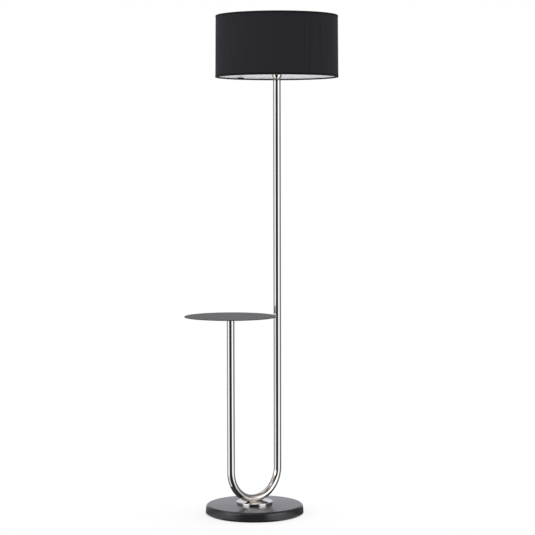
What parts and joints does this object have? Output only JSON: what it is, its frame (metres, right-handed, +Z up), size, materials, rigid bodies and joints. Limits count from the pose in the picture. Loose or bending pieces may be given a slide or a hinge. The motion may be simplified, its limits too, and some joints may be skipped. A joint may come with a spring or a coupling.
{
  "type": "floor lamp",
  "caption": "Floor lamp with a round weighted base, a U-shaped bright tube, a small round side table and a black drum shade.",
  "frame": {"origin": "centre of the round base, on the floor", "axes": "+Z up; the leg with the table is at -X and the leg with the shade at +X; the lead would enter the base at +Y"},
  "size_m": [0.51, 0.379, 1.53],
  "materials": {
    "cover_black": "satin black powder coat",
    "table_black": "satin black powder coat",
    "iron": "raw casting",
    "foam": "fine cell foam",
    "bright_tube": "polished nickel plate",
    "zinc_steel": "zinc plated",
    "black_rubber": "moulded",
    "black_plastic": "moulded, fine texture",
    "lead_sheath": "extruded",
    "core_sheath": "extruded",
    "brass": "stamped",
    "cam_plastic": "moulded",
    "opal_glass": "opal",
    "cap_nickel": "nickel plate",
    "white_wire": "white powder coat",
    "shade_cloth": "fine plain weave",
    "shade_edge": "rolled edge cloth",
    "shade_film": "pale smooth film"
  },
  "bodies": {
    "stand": {"base_cover": "cover_black", "base_weight": "iron", "base_pad": "foam", "base_stud": "zinc_steel", "stud_washer": "zinc_steel", "stud_spring_washer": "zinc_steel", "stud_nut": "zinc_steel", "cord_bush": "black_rubber", "cord_clamp": "black_plastic", "clamp_screws": "zinc_steel", "foot_plate": "bright_tube", "bend_boss": "zinc_steel", "u_tube": "bright_tube", "u_tube_plug": "zinc_steel", "joint_nipple": "zinc_steel", "pole_plug": "zinc_steel", "upper_pole": "bright_tube", "pole_top_plug": "zinc_steel", "socket_nipple": "zinc_steel", "inner_lead": "lead_sheath", "lead_cores": "core_sheath", "socket_cup": "bright_tube", "cup_nut": "zinc_steel", "socket_body": "black_plastic", "screw_shell": "brass", "centre_contact": "brass", "terminal_screws": "brass", "table_top": "table_black", "table_flange": "table_black", "table_nuts": "zinc_steel", "table_stud": "zinc_steel", "leg_plug": "zinc_steel"},
    "shade": {"fitter_ring": "white_wire", "shade_arms": "white_wire", "shade_bottom_ring": "white_wire", "shade_top_ring": "white_wire", "shade_cover": "shade_cloth", "shade_lining": "shade_film", "shade_bottom_hem": "shade_edge", "shade_top_hem": "shade_edge"},
    "lock_ring": {"shade_lock_ring": "black_plastic"},
    "bulb": {"bulb_glass": "opal_glass", "bulb_cap": "cap_nickel", "bulb_insulator": "black_plastic", "bulb_contact": "cap_nickel"},
    "switch": {"switch_shaft": "brass", "switch_cam": "cam_plastic", "switch_knob": "black_plastic"}
  },
  "joints": [
    {"name": "shade_turn", "type": "hinge", "parent": "stand", "child": "shade", "pos_m": [0.09, 0, 1.3851], "axis": [0, 0, 1], "continuous": true},
    {"name": "lock_ring_turn", "type": "hinge", "parent": "stand", "child": "lock_ring", "pos_m": [0.09, 0, 1.3892], "axis": [0, 0, 1], "continuous": true},
    {"name": "bulb_lift", "type": "slide", "parent": "stand", "child": "bulb", "axis": [0, 0, 1], "range_m": [0, 0.2]},
    {"name": "switch_turn", "type": "hinge", "parent": "stand", "child": "switch", "pos_m": [0.09, -0.015, 1.364], "axis": [0, -1, 0], "continuous": true}
  ]
}
